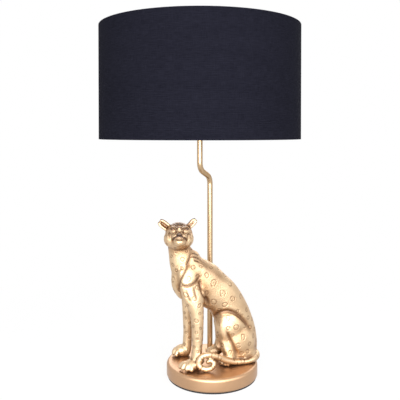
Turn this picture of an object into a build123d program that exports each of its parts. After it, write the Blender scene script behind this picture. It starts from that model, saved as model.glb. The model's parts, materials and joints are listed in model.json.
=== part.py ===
"""Table lamp: a seated leopard on a round plinth, a jogged stem behind it and a drum shade.

Millimetres, +Z up.  The origin is on the ground, under the axis of the shade.
+X is to the leopard's back, -Y is the side that its face looks to.
"""
import os
from math import cos, radians, sin

from build123d import *

os.makedirs("parts", exist_ok=True)

# ---------------------------------------------------------------- fits
running_gap = 0.05          # radial, between a sliding or turning pair
seat_gap = 0.1              # between pieces that rest on each other and come apart
assembly_gap = 0.15         # radial, between a fixed piece and its hole

# ---------------------------------------------------------------- plinth
plinth_x = 21.5             # plinth axis, to the side of the shade axis
plinth_radius = 80.0
plinth_height = 23.0
plinth_wall = 5.0
plinth_top_round = 5.5
plinth_foot_round = 3.5
pad_thickness = 2.0
pad_inset = 2.0
plate_thickness = 1.5
plate_screw_count = 3
plate_screw_radius = 1.75
plate_screw_length = 12.0
boss_radius = 5.0
boss_inset = 4.0            # between a boss and the inside of the wall

# ---------------------------------------------------------------- cord inlet
inlet_height = 12.0         # above the ground
inlet_bore_radius = 3.2
inlet_barrel_radius = 4.5
inlet_flange_radius = 6.5
inlet_flange = 2.0
inlet_tail = 3.0            # barrel inside the wall

# ---------------------------------------------------------------- stem
stem_radius = 4.9
stem_bore_radius = 3.7
stem_side = 18.5            # lower run, to the side of the shade axis
stem_foot_gap = 1.0         # between the far hind paw and the collar round the stem
jog_low = 345.4             # corner heights of the jog
jog_high = 362.6
jog_bend = 18.0
stem_below_plinth = 13.0    # threaded tail under the plinth top
collar_radius = 8.0
collar_height = 5.0
foot_washer_radius = 11.0
foot_washer_thickness = 1.5
foot_nut_flats = 16.0
foot_nut_height = 5.0

# ---------------------------------------------------------------- lampholder
holder_bottom = 418.0       # underside of the lampholder cap
locknut_flats = 14.0
locknut_height = 3.0
cap_radius = 20.0
cap_height = 18.0
cap_wall = 1.6
cap_neck_radius = 9.0
cap_floor = 3.0
cap_collar_height = 6.0
skirt_radius = 20.0
skirt_wall = 3.0
skirt_height = 38.0
shoulder_radius = 23.0
shoulder_height = 3.0
spigot_depth = 5.0
spigot_lip = 2.0
spigot_lip_reach = 2.5
core_height = 13.0
shell_inner_radius = 13.5
shell_thickness = 0.5
shell_height = 24.0
shell_hole_radius = 8.0
contact_rise = 3.0
contact_width = 5.0
contact_thickness = 0.8
contact_length = 13.0
terminal_side = 5.0
terminal_depth = 5.5
terminal_offset = 11.0
terminal_screw_radius = 1.5
terminal_screw_head = 2.2
terminal_head_height = 1.6

# ---------------------------------------------------------------- push-bar switch
bar_radius = 2.0
bar_drop = 5.0              # bar axis below the core
switch_travel = 6.0
knob_radius = 4.0
knob_length = 5.0
knob_clear = 0.5            # knob to cap at the end of its travel
block_length = 14.0
block_width = 13.0
block_height = 8.5

# ---------------------------------------------------------------- shade
shade_radius = 175.0
shade_height = 194.0
shade_bottom = 416.0
fabric_thickness = 0.6
lining_thickness = 0.5
wire_radius = 2.0
hem_thickness = 0.5
hem_leg = 9.0               # how far the turned-in edge reaches from the rim
carrier_thickness = 1.5
carrier_ring_radius = 28.0
arm_radius = 2.0
arm_flat = 16.0             # level run of each arm before it slopes
arm_count = 3
arm_bend = 12.0
arm_first_angle = 90.0
arm_weld = 1.0              # how far an arm's end is let into the centre ring
carrier_clear = 0.3         # radial, round the lampholder
arm_slot_clear = 0.5        # beside each arm where it passes the turned-in hem

# ---------------------------------------------------------------- shade ring
slip_washer_thickness = 1.0
slip_washer_radius = 26.0
ring_flange_radius = 29.0
ring_flange_height = 2.0
ring_height = 9.0
ring_collar_radius = 25.0
ring_grip_count = 18
ring_grip_radius = 1.6

# ---------------------------------------------------------------- bulb
bulb_cap_radius = 13.2
bulb_cap_height = 22.0
bulb_tip_radius = 4.5
bulb_tip_height = 2.0
bulb_insulator_height = 3.5
bulb_insulator_radius = 10.5
bulb_radius = 17.5
bulb_belly_height = 22.0    # widest place above the cap
bulb_glass_height = 66.0
bulb_wall = 0.9
filament_radius = 0.9
filament_height = 26.0
filament_circle = 6.0
filament_count = 4
mount_radius = 2.6
mount_height = 16.0

# ---------------------------------------------------------------- leopard
figure_yaw = 16.0           # how far the body turns towards the face side
head_x = -58.5              # head and ears, from the middle of the plinth's top
head_z = 220.0
head_radius = 25.5
muzzle_radius = 13.0
muzzle_shift = 1.0             # towards the tail from the middle of the head
muzzle_drop = 8.0              # below the middle of the head, where the muzzle starts
chin_drop = 11.0               # the same, where it ends
ear_radius = 9.5
ear_thickness = 7.0
ear_seat = 7.0              # middle of an ear, out from the round of the head
ear_angle = 38.0            # above level
ear_turn = 14.0
ear_y = -14.0
fore_paw_radius = 12.0
hind_paw_radius = 10.0
far_hind_paw_y = 21.0
knee_radius = 11.0
tail_radius = 5.0
figure_screw_radius = 2.5
figure_screw_length = 15.0
figure_screw_head = 4.5
figure_head_height = 3.0
fore_screw_x = -29.5           # into the near fore leg, from the plinth's centre
fore_screw_y = -38.0
side_screw_to_wall = 32.5      # along X, from the inside of the wall into the near haunch
side_screw_y = 2.0
rear_screw_to_wall = 30.0      # the same, into the far haunch
rear_screw_y = 27.0

# ---------------------------------------------------------------- heights and places that follow
plinth_top = pad_thickness + plinth_height
plinth_ceiling = plinth_top - plinth_wall
plate_top = pad_thickness + plate_thickness
plate_screw_head = plate_screw_radius + plate_thickness - running_gap
cavity_radius = plinth_radius - plinth_wall
plate_screw_circle = cavity_radius - boss_inset - boss_radius
stem_back = far_hind_paw_y + hind_paw_radius + stem_foot_gap + collar_radius
stem_top = holder_bottom + cap_collar_height
holder_joint = holder_bottom + cap_height
shoulder_top = holder_joint + shoulder_height
core_bottom = holder_joint - spigot_depth + spigot_lip
core_top = core_bottom + core_height
skirt_inner = skirt_radius - skirt_wall
bar_height = core_bottom - bar_drop
carrier_bottom = shoulder_top + seat_gap
washer_bottom = carrier_bottom + carrier_thickness + seat_gap
ring_bottom = washer_bottom + slip_washer_thickness + seat_gap
insulator_bottom = core_top + contact_rise + 3 * seat_gap + bulb_tip_height
bulb_cap_bottom = insulator_bottom + bulb_insulator_height
bulb_cap_top = bulb_cap_bottom + bulb_cap_height
shade_top = shade_bottom + shade_height
lining_outer = shade_radius - fabric_thickness
lining_inner = lining_outer - lining_thickness
wire_circle = lining_inner - wire_radius - seat_gap
hem_inner = wire_circle - wire_radius - seat_gap - hem_thickness
wire_low = shade_bottom + hem_thickness + wire_radius + seat_gap
wire_high = shade_top - hem_thickness - wire_radius - seat_gap
arm_height = carrier_bottom + carrier_thickness - arm_radius


def ring_at(centre, outer, inner, height):
    """Join a ring that stands on a level plane."""
    with BuildSketch(Plane(centre)) as outline:
        Circle(outer)
        if inner > 0:
            Circle(inner, mode=Mode.SUBTRACT)
    extrude(outline.sketch, amount=height)


def nut_at(centre, flats, inner, height):
    """Join a hexagon nut that stands on a level plane."""
    with BuildSketch(Plane(centre)) as outline:
        RegularPolygon(flats / 2, 6, major_radius=False)
        Circle(inner, mode=Mode.SUBTRACT)
    extrude(outline.sketch, amount=height)


def hole_at(centre, radius, depth):
    """Cut a round hole upwards from a level plane."""
    with BuildSketch(Plane(centre)) as outline:
        Circle(radius)
    extrude(outline.sketch, amount=depth, mode=Mode.SUBTRACT)


def round_bar(start, end, radius, mode=Mode.ADD):
    """Join or cut a straight round bar between two points."""
    run = Vector(*end) - Vector(*start)
    with BuildSketch(Plane(start, z_dir=run)) as outline:
        Circle(radius)
    extrude(outline.sketch, amount=run.length, mode=mode)


def save(piece, name):
    """Label a finished piece and write it as its own file."""
    piece.part.label = name
    export_step(piece.part, f"parts/{name}.step")


# ================================================================ plinth
plate_screw_places = [
    (plinth_x + place.position.X, place.position.Y)
    for place in PolarLocations(plate_screw_circle, plate_screw_count, start_angle=30)
]
figure_screw_places = [
    (plinth_x + fore_screw_x, fore_screw_y),
    (plinth_x + cavity_radius - side_screw_to_wall, side_screw_y),
    (plinth_x + cavity_radius - rear_screw_to_wall, rear_screw_y),
]

with BuildPart() as plinth:
    ring_at((plinth_x, 0, pad_thickness), plinth_radius, 0, plinth_height)
    fillet(plinth.edges().group_by(Axis.Z)[-1], plinth_top_round)
    fillet(plinth.edges().group_by(Axis.Z)[0], plinth_foot_round)
    hole_at((plinth_x, 0, pad_thickness), cavity_radius, plinth_height - plinth_wall)
    for x, y in plate_screw_places:
        ring_at((x, y, plate_top), boss_radius, 0, plinth_ceiling - plate_top)
        hole_at((x, y, plate_top), plate_screw_radius + running_gap, plate_screw_length)
    for x, y in figure_screw_places:
        hole_at((x, y, plinth_ceiling), figure_screw_radius + assembly_gap, plinth_wall)
    hole_at((stem_side, stem_back, plinth_ceiling), stem_radius + assembly_gap, plinth_wall)
    round_bar(
        (plinth_x, plinth_radius - 2 * plinth_wall, inlet_height),
        (plinth_x, plinth_radius + plinth_wall, inlet_height),
        inlet_barrel_radius + assembly_gap,
        mode=Mode.SUBTRACT,
    )
save(plinth, "plinth")

with BuildPart() as bottom_plate:
    ring_at((plinth_x, 0, pad_thickness), cavity_radius - assembly_gap, 0, plate_thickness)
    for x, y in plate_screw_places:
        hole_at((x, y, pad_thickness), plate_screw_radius + assembly_gap, plate_thickness)
        with Locations(Location((x, y, pad_thickness), (180, 0, 0))):
            CounterSinkHole(plate_screw_radius + assembly_gap, plate_screw_head + assembly_gap,
                            depth=plate_thickness)
save(bottom_plate, "bottom_plate")

with BuildPart() as plate_screws:
    head_height = plate_screw_head - plate_screw_radius
    for x, y in plate_screw_places:
        with BuildSketch(Plane((x, y, pad_thickness))):
            Circle(plate_screw_head)
        extrude(amount=head_height, taper=45)
        ring_at((x, y, pad_thickness + head_height / 2), plate_screw_radius, 0,
                plate_screw_length - head_height / 2)
save(plate_screws, "plate_screws")

with BuildPart() as base_pad:
    ring_at((plinth_x, 0, 0), plinth_radius - pad_inset, 0, pad_thickness)
save(base_pad, "base_pad")

with BuildPart() as cord_bush:
    inner_end = plinth_radius - plinth_wall - inlet_tail
    round_bar((plinth_x, inner_end, inlet_height), (plinth_x, plinth_radius, inlet_height),
              inlet_barrel_radius)
    round_bar((plinth_x, plinth_radius, inlet_height),
              (plinth_x, plinth_radius + inlet_flange, inlet_height), inlet_flange_radius)
    fillet(cord_bush.edges().group_by(Axis.Y)[-1], inlet_flange / 2)
    round_bar((plinth_x, inner_end, inlet_height),
              (plinth_x, plinth_radius + inlet_flange, inlet_height),
              inlet_bore_radius, mode=Mode.SUBTRACT)
save(cord_bush, "cord_bush")


# ================================================================ leopard
def figure_point(x, y, z):
    """Turn a place on the figure, from the middle of the plinth's top, into a place on the lamp."""
    return (plinth_x + x, y, plinth_top + z)


def add_trunk(sections):
    """Loft ellipses that lean forward along the turned body: x, y, z, depth, width, lean."""
    turn = radians(figure_yaw)
    slices = []
    for x, y, z, half_depth, half_width, lean in sections:
        ahead = sin(radians(lean))
        slice_plane = Plane(
            figure_point(x, y, z),
            x_dir=(-sin(turn), cos(turn), 0),
            z_dir=(-ahead * cos(turn), -ahead * sin(turn), cos(radians(lean))),
        )
        with BuildSketch(slice_plane) as outline:
            Ellipse(half_width, half_depth)
        slices.append(outline.sketch)
    loft(slices)


def add_limb(sections):
    """Loft level ellipses, from the top of a limb down: x, y, z, half length, half width."""
    slices = []
    for x, y, z, half_length, half_width in sections:
        with BuildSketch(Plane(figure_point(x, y, z))) as outline:
            Ellipse(half_length, half_width)
        slices.append(outline.sketch)
    loft(slices)


def add_capsule(start, end, radius):
    """Join a round-ended bar between two places on the figure."""
    tail = Vector(*figure_point(*start))
    run = Vector(*figure_point(*end)) - tail
    with BuildSketch(Plane(tail, x_dir=run, z_dir=run.cross(Vector(0, 0, 1)))) as half:
        with BuildLine():
            CenterArc((0, 0), radius, 90, 90)
            Line((0, radius), (run.length, radius))
            CenterArc((run.length, 0), radius, 0, 90)
            Line((run.length + radius, 0), (-radius, 0))
        make_face()
    revolve(half.sketch, axis=Axis(tail, run))


def add_ear(side):
    """Join a round-edged disc that stands on the crown, turned a little outwards."""
    reach = head_radius + ear_seat
    out = side * reach * cos(radians(ear_angle))
    up = reach * sin(radians(ear_angle))
    back = Vector(*figure_point(head_x + out, ear_y, head_z + up))
    face = Vector(side * sin(radians(ear_turn)), -cos(radians(ear_turn)), 0)
    with BuildSketch(Plane(back, x_dir=face, z_dir=face.cross(Vector(0, 0, 1)))) as half:
        with Locations((0, ear_radius / 2)):
            Rectangle(ear_thickness, ear_radius)
        fillet(half.vertices().group_by(Axis.Y)[-1], ear_thickness / 3)
    revolve(half.sketch, axis=Axis(back, face))


trunk_sections = [
    (49.5, 15, -1, 29, 22, 0),
    (49, 15, 20, 31, 24, 9),
    (46.5, 14, 47, 30.6, 26, 11),
    (34.5, 11, 79, 32.3, 26, 22),
    (18.5, 6, 109.5, 31.3, 25, 34),
    (-13.5, -3, 129.5, 43, 27, 38),
    (-38.5, -10, 157, 38, 24, 35),
    (-47.5, -12, 177, 29.6, 21, 24),
    (-56.5, -13, 197.5, 21.4, 18, 14),
    (-58.5, -17, 216, 16, 15, 2),
]
near_fore_leg = [
    (-31.5, -28, 155, 14, 9),
    (-31.5, -34, 127, 17, 13),
    (-25.5, -36, 103, 16, 13),
    (-26, -36, 60, 10.5, 10.5),
    (-27.5, -37, 25, 10, 10.5),
    (-29.5, -38, -1, 11, 12),
]
far_fore_leg = [
    (-43.5, 10, 127, 14, 11),
    (-43.5, 16, 85, 10, 10),
    (-43, 19, 48, 8, 9),
    (-44.5, 20, 20, 8.5, 10),
    (-46.5, 20, -1, 9.5, 11),
]
near_haunch = [
    (33.5, 1, 83, 12, 7),
    (37.5, -2, 70, 26, 11),
    (40.5, -4, 50, 33.5, 14),
    (43.5, -3, 25, 33, 15),
    (42.5, -2, -1, 30, 13),
]
far_haunch = [
    (35, 27, 82, 10, 6),
    (39, 30, 70, 22, 10),
    (42.5, 32, 50, 30, 13),
    (44.5, 32, 25, 30, 14),
    (43.5, 31, -1, 28, 12),
]
near_shin = [(17, -5, 60, 9, 8), (22.5, -10, 27, 9.5, 9), (27.5, -12, -1, 10, 10)]
far_shin = [(19, 28, 58, 9, 8), (16, 25, 25, 8.5, 8), (12, far_hind_paw_y, -1, 9, 8)]
tail_corners = [
    (64.5, 22, 9),
    (77.5, 8, 8),
    (70.5, -15, 6),
    (38.5, -21, 6),
    (8.5, -42, 26),
    (-15.5, -48, 29),
    (-23.5, -49, 7),
    (-1.5, -51, tail_radius + 0.2),
    (2.5, -51, 17),
]
round_forms = [
    ((head_x, -12, head_z), (head_x, -27, head_z), head_radius),
    (
        (head_x + muzzle_shift, -32, head_z - muzzle_drop),
        (head_x + muzzle_shift, -41, head_z - chin_drop),
        muzzle_radius,
    ),
    ((-47, -47, 8), (-35, -37, 8), fore_paw_radius),
    ((-59, 19, 7), (-47, 21, 7), fore_paw_radius),
    ((23, -19, 7), (27, -12, 7), hind_paw_radius),
    ((0, far_hind_paw_y, 8), (10, far_hind_paw_y, 8), hind_paw_radius),
    ((17, -6, 54), (22, -3, 56), knee_radius),
    ((19, 28, 52), (24, 28, 54), knee_radius),
]
tail_bends = [9.0, 9.0, 12.0, 12.0, 9.0, 7.0, 7.0]

with BuildPart() as leopard:
    add_trunk(trunk_sections)
    for limb in (near_fore_leg, far_fore_leg, near_haunch, far_haunch, near_shin, far_shin):
        add_limb(limb)
    for start, end, radius in round_forms:
        add_capsule(start, end, radius)
    for side in (-1, 1):
        add_ear(side)
    with BuildLine():
        FilletPolyline(*[figure_point(*corner) for corner in tail_corners], radius=tail_bends)
    tail_start = Vector(*figure_point(*tail_corners[0]))
    tail_next = Vector(*figure_point(*tail_corners[1]))
    with BuildSketch(Plane(tail_start, z_dir=tail_next - tail_start)):
        Circle(tail_radius)
    sweep()
    split(bisect_by=Plane.XY.offset(plinth_top), keep=Keep.TOP)
    for x, y in figure_screw_places:
        hole_at((x, y, plinth_top), figure_screw_radius + assembly_gap,
                figure_screw_length - plinth_wall + 1.0)
save(leopard, "leopard")

with BuildPart() as leopard_screws:
    for x, y in figure_screw_places:
        ring_at((x, y, plinth_ceiling - figure_head_height), figure_screw_head, 0, figure_head_height)
        ring_at((x, y, plinth_ceiling), figure_screw_radius, 0, figure_screw_length)
save(leopard_screws, "leopard_screws")

# ================================================================ stem
with BuildPart() as stem:
    with BuildLine():
        FilletPolyline(
            (stem_side, stem_back, plinth_top - stem_below_plinth),
            (stem_side, stem_back, jog_low),
            (0, 0, jog_high),
            (0, 0, stem_top),
            radius=jog_bend,
        )
    with BuildSketch(Plane((stem_side, stem_back, plinth_top - stem_below_plinth))):
        Circle(stem_radius)
        Circle(stem_bore_radius, mode=Mode.SUBTRACT)
    sweep()
save(stem, "stem")

with BuildPart() as foot_collar:
    ring_at((stem_side, stem_back, plinth_top), collar_radius, stem_radius + assembly_gap, collar_height)
    fillet(foot_collar.edges().group_by(Axis.Z)[-1].sort_by(SortBy.RADIUS)[-1], collar_height / 4)
save(foot_collar, "foot_collar")

with BuildPart() as foot_washer:
    ring_at((stem_side, stem_back, plinth_ceiling - foot_washer_thickness), foot_washer_radius,
            stem_radius + assembly_gap, foot_washer_thickness)
save(foot_washer, "foot_washer")

with BuildPart() as foot_nut:
    nut_at((stem_side, stem_back, plinth_ceiling - foot_washer_thickness - foot_nut_height),
           foot_nut_flats, stem_radius + running_gap, foot_nut_height)
save(foot_nut, "foot_nut")

# ================================================================ lampholder
with BuildPart() as holder_locknut:
    nut_at((0, 0, holder_bottom - locknut_height), locknut_flats, stem_radius + running_gap, locknut_height)
save(holder_locknut, "holder_locknut")

cap_inner = cap_radius - cap_wall
flare_height = cap_radius - cap_neck_radius - cap_floor

with BuildPart() as holder_cap:
    with BuildSketch(Plane.XZ.offset(0)):
        with BuildLine():
            Polyline(
                (0, holder_bottom),
                (cap_neck_radius, holder_bottom),
                (cap_radius, holder_bottom + flare_height),
                (cap_radius, holder_joint),
                (cap_inner, holder_joint),
                (cap_inner, holder_bottom + flare_height + cap_wall / 2),
                (cap_neck_radius - cap_wall / 2, holder_bottom + cap_floor),
                (0, holder_bottom + cap_floor),
                close=True,
            )
        make_face()
    revolve(axis=Axis.Z)
    ring_at((0, 0, holder_bottom), cap_neck_radius - cap_wall, 0, cap_collar_height)
    hole_at((0, 0, holder_bottom), stem_radius + running_gap, cap_collar_height)
    round_bar((-2 * cap_radius, 0, bar_height), (2 * cap_radius, 0, bar_height),
              bar_radius + running_gap, mode=Mode.SUBTRACT)
save(holder_cap, "holder_cap")

with BuildPart() as holder_skirt:
    spigot_radius = cap_inner - assembly_gap
    ring_at((0, 0, holder_joint - spigot_depth), spigot_radius, 0, spigot_depth)
    ring_at((0, 0, holder_joint), shoulder_radius, 0, shoulder_height)
    ring_at((0, 0, holder_joint), skirt_radius, 0, skirt_height)
    fillet(holder_skirt.edges().group_by(Axis.Z)[-1], skirt_wall / 4)
    hole_at((0, 0, holder_joint - spigot_depth), skirt_inner - spigot_lip_reach, spigot_lip)
    hole_at((0, 0, core_bottom), skirt_inner, skirt_height + spigot_depth)
save(holder_skirt, "holder_skirt")

with BuildPart() as holder_core:
    ring_at((0, 0, core_bottom), skirt_inner - assembly_gap, 0, core_height)
    chamfer(holder_core.edges().group_by(Axis.Z)[-1], seat_gap * 5)
save(holder_core, "holder_core")

with BuildPart() as screw_shell:
    shell_outer = shell_inner_radius + shell_thickness
    ring_at((0, 0, core_top), shell_outer, shell_inner_radius, shell_height)
    ring_at((0, 0, core_top), shell_outer, shell_hole_radius, shell_thickness)
save(screw_shell, "screw_shell")

with BuildPart() as centre_contact:
    with BuildSketch(Plane((0, 0, core_top))):
        SlotOverall(contact_length, contact_width)
    extrude(amount=contact_thickness)
    ring_at((0, 0, core_top), contact_width / 2, 0, contact_rise)
    fillet(centre_contact.edges().group_by(Axis.Z)[-1], contact_thickness)
save(centre_contact, "centre_contact")

terminal_places = [(0, -terminal_offset), (0, terminal_offset)]
terminal_bottom = core_bottom - terminal_depth

with BuildPart() as terminals:
    for x, y in terminal_places:
        with BuildSketch(Plane((x, y, terminal_bottom))):
            Rectangle(terminal_side, terminal_side)
            Circle(terminal_screw_radius + assembly_gap, mode=Mode.SUBTRACT)
        extrude(amount=terminal_depth)
save(terminals, "terminals")

with BuildPart() as terminal_screws:
    for x, y in terminal_places:
        ring_at((x, y, terminal_bottom - terminal_head_height), terminal_screw_head, 0, terminal_head_height)
        ring_at((x, y, terminal_bottom), terminal_screw_radius, 0, terminal_depth - seat_gap)
save(terminal_screws, "terminal_screws")

with BuildPart() as switch_block:
    with BuildSketch(Plane((0, 0, core_bottom - block_height))):
        Rectangle(block_length, block_width)
    extrude(amount=block_height)
    fillet(switch_block.edges().filter_by(Axis.Z), block_width / 10)
    round_bar((-block_length, 0, bar_height), (block_length, 0, bar_height),
              bar_radius + running_gap, mode=Mode.SUBTRACT)
save(switch_block, "switch_block")

right_knob_face = cap_radius + knob_clear
left_knob_face = -right_knob_face - switch_travel

with BuildPart() as switch_bar:
    round_bar((left_knob_face - knob_length / 2, 0, bar_height),
              (right_knob_face + knob_length / 2, 0, bar_height), bar_radius)
save(switch_bar, "switch_bar")

with BuildPart() as switch_knobs:
    round_bar((left_knob_face, 0, bar_height), (left_knob_face - knob_length, 0, bar_height), knob_radius)
    round_bar((right_knob_face, 0, bar_height), (right_knob_face + knob_length, 0, bar_height), knob_radius)
    fillet(switch_knobs.edges().group_by(Axis.X)[0], knob_radius / 4)
    fillet(switch_knobs.edges().group_by(Axis.X)[-1], knob_radius / 4)
    round_bar((left_knob_face - knob_length / 2, 0, bar_height),
              (right_knob_face + knob_length / 2, 0, bar_height),
              bar_radius + running_gap, mode=Mode.SUBTRACT)
save(switch_knobs, "switch_knobs")

# ================================================================ shade
with BuildPart() as shade_carrier:
    ring_at((0, 0, carrier_bottom), carrier_ring_radius, skirt_radius + carrier_clear, carrier_thickness)
    for place in PolarLocations(1.0, arm_count, start_angle=arm_first_angle):
        out = place.position
        stations = [
            (carrier_ring_radius - arm_weld, arm_height),
            (carrier_ring_radius + arm_flat, arm_height),
            (wire_circle, wire_low),
        ]
        with BuildLine():
            arm_path = FilletPolyline(*[(out.X * r, out.Y * r, z) for r, z in stations], radius=arm_bend)
        with BuildSketch(Plane(arm_path @ 0, z_dir=arm_path % 0)):
            Circle(arm_radius)
        sweep(path=arm_path)
    with BuildSketch(Plane.XZ):
        with Locations((wire_circle, wire_low)):
            Circle(wire_radius)
    revolve(axis=Axis.Z)
save(shade_carrier, "shade_carrier")

with BuildPart() as top_wire:
    with BuildSketch(Plane.XZ):
        with Locations((wire_circle, wire_high)):
            Circle(wire_radius)
    revolve(axis=Axis.Z)
save(top_wire, "top_wire")

sheet_bottom = shade_bottom + hem_thickness
sheet_height = shade_height - 2 * hem_thickness

with BuildPart() as shade_lining:
    ring_at((0, 0, sheet_bottom), lining_outer, lining_inner, sheet_height)
save(shade_lining, "shade_lining")

with BuildPart() as shade_fabric:
    ring_at((0, 0, sheet_bottom), shade_radius, lining_outer, sheet_height)
save(shade_fabric, "shade_fabric")

with BuildPart() as bottom_hem:
    ring_at((0, 0, shade_bottom), shade_radius, hem_inner, hem_thickness)
    ring_at((0, 0, shade_bottom), hem_inner + hem_thickness, hem_inner, hem_leg)
    for place in PolarLocations(hem_inner, arm_count, start_angle=arm_first_angle):
        with BuildSketch(Plane(place).offset(sheet_bottom)):
            Rectangle(4 * hem_thickness, 2 * (arm_radius + arm_slot_clear))
        extrude(amount=hem_leg, mode=Mode.SUBTRACT)
save(bottom_hem, "bottom_hem")

with BuildPart() as top_hem:
    ring_at((0, 0, shade_top - hem_thickness), shade_radius, hem_inner, hem_thickness)
    ring_at((0, 0, shade_top - hem_leg), hem_inner + hem_thickness, hem_inner, hem_leg)
save(top_hem, "top_hem")

with BuildPart() as slip_washer:
    ring_at((0, 0, washer_bottom), slip_washer_radius, skirt_radius + carrier_clear, slip_washer_thickness)
save(slip_washer, "slip_washer")

with BuildPart() as shade_ring:
    ring_at((0, 0, ring_bottom), ring_flange_radius, 0, ring_flange_height)
    ring_at((0, 0, ring_bottom), ring_collar_radius, 0, ring_height)
    for place in PolarLocations(ring_collar_radius, ring_grip_count):
        hole_at((place.position.X, place.position.Y, ring_bottom + ring_flange_height),
                ring_grip_radius, ring_height)
    hole_at((0, 0, ring_bottom), skirt_radius + 2 * running_gap, ring_height)
save(shade_ring, "shade_ring")

# ================================================================ bulb
with BuildPart() as bulb_tip:
    ring_at((0, 0, insulator_bottom - bulb_tip_height), bulb_tip_radius, 0, bulb_tip_height)
    fillet(bulb_tip.edges().group_by(Axis.Z)[0], bulb_tip_height / 2)
save(bulb_tip, "bulb_tip")

cap_floor_thickness = bulb_wall

with BuildPart() as bulb_insulator:
    with BuildSketch(Plane((0, 0, insulator_bottom))):
        Circle(bulb_tip_radius + bulb_wall)
    with BuildSketch(Plane((0, 0, bulb_cap_bottom))):
        Circle(bulb_insulator_radius)
    loft()
    ring_at((0, 0, bulb_cap_bottom), bulb_insulator_radius, 0, cap_floor_thickness)
save(bulb_insulator, "bulb_insulator")

with BuildPart() as bulb_cap:
    ring_at((0, 0, bulb_cap_bottom), bulb_cap_radius, bulb_cap_radius - bulb_wall, bulb_cap_height)
    ring_at((0, 0, bulb_cap_bottom), bulb_cap_radius, bulb_insulator_radius, cap_floor_thickness)
save(bulb_cap, "bulb_cap")


def bulb_form(shrink, mode=Mode.ADD):
    """Revolve the flame-shaped outline of the bulb, drawn in by a wall."""
    neck = bulb_cap_radius - shrink
    with BuildSketch(Plane.XZ) as half:
        with BuildLine():
            shoulder = Spline(
                (neck, bulb_cap_top),
                (bulb_radius - shrink, bulb_cap_top + bulb_belly_height),
                tangents=((0.4, 1), (0, 1)),
            )
            point = Spline(
                (bulb_radius - shrink, bulb_cap_top + bulb_belly_height),
                (0, bulb_cap_top + bulb_glass_height - shrink),
                tangents=((0, 1), (-1, 0)),
            )
            Polyline(point @ 1, (0, bulb_cap_top), shoulder @ 0)
        make_face()
    revolve(half.sketch, axis=Axis.Z, mode=mode)


with BuildPart() as bulb_glass:
    bulb_form(0.0)
    bulb_form(bulb_wall, mode=Mode.SUBTRACT)
save(bulb_glass, "bulb_glass")

mount_bottom = bulb_cap_bottom + cap_floor_thickness
mount_top = bulb_cap_top + mount_height

with BuildPart() as bulb_mount:
    ring_at((0, 0, mount_bottom), mount_radius, 0, mount_top - mount_bottom)
save(bulb_mount, "bulb_mount")

with BuildPart() as bulb_filaments:
    ring_at((0, 0, mount_top), filament_circle + 2 * filament_radius, 0, filament_radius)
    for place in PolarLocations(filament_circle, filament_count):
        ring_at((place.position.X, place.position.Y, mount_top), filament_radius, 0, filament_height)
save(bulb_filaments, "bulb_filaments")
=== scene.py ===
# %% [markdown]
# # A leopard table lamp
# The construction comes from a packed CAD model: every piece at its real size and place. This lesson gives
# the lamp its looks. It sculpts the leopard, lays cloth round the drum shade, redraws the plinth and the
# stem with finer curves, and finishes each surface with a procedural material.

# %% Load the frame
import json
from math import cos, exp, pi, radians, sin, sqrt, tan, tau

import bmesh
import bpy
import numpy as np
from mathutils import Matrix, Vector
from mathutils.bvhtree import BVHTree
from mathutils.kdtree import KDTree


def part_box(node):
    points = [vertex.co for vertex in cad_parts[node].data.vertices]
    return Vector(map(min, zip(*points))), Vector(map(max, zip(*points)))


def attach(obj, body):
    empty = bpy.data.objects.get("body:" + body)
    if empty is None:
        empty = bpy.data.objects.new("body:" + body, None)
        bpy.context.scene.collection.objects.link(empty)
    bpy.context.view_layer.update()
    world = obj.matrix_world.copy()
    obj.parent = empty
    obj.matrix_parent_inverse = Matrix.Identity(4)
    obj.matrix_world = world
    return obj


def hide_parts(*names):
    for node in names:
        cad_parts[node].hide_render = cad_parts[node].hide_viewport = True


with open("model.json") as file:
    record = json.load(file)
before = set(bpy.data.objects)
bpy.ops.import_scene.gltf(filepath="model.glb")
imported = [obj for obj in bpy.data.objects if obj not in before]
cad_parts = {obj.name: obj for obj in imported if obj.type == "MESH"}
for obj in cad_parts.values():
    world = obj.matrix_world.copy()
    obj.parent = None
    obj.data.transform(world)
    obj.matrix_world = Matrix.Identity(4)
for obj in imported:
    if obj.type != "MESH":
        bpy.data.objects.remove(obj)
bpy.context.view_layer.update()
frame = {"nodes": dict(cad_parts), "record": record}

nodes = frame["nodes"]
scene = bpy.context.scene
print("CAD nodes:", len(nodes))

# %% [markdown]
# ## Where things are
# The plinth and the shade are round, so a box tells the axis, radius and height of each. The numbers could
# be typed in again, but values read from the CAD nodes follow the model when it changes.

# %% Places from the frame
MM = 0.001


def box_of(node):
    """Lowest and highest corner of a CAD node, in metres."""
    low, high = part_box(node)
    return Vector(low), Vector(high)


plinth_low, plinth_high = box_of("plinth")
plinth_centre = (plinth_low + plinth_high) / 2
plinth_radius = (plinth_high.x - plinth_low.x) / 2
shade_low, shade_high = box_of("shade_fabric")
shade_radius = (shade_high.x - shade_low.x) / 2
print("plinth radius", round(plinth_radius, 4), "top", round(plinth_high.z, 4))
print("shade radius", round(shade_radius, 4), "from", round(shade_low.z, 4), "to", round(shade_high.z, 4))

# %% [markdown]
# ## Camera
# The camera is level with the lamp and looks very slightly down. Tipping it further would show the plinth,
# but the shade's sides would lean. A shifted lens crops a taller view and keeps them upright.

# %% Camera
EYE = Vector((0.00025, -0.984, 0.428))
LENS = 50.4
SENSOR = 36.0
PITCH = 1.09
VIEW_SHIFT = -0.143
NEAREST = 0.01


def add_object(name, data):
    """Puts an object with this data into the scene."""
    made = bpy.data.objects.new(name, data)
    scene.collection.objects.link(made)
    return made


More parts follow.
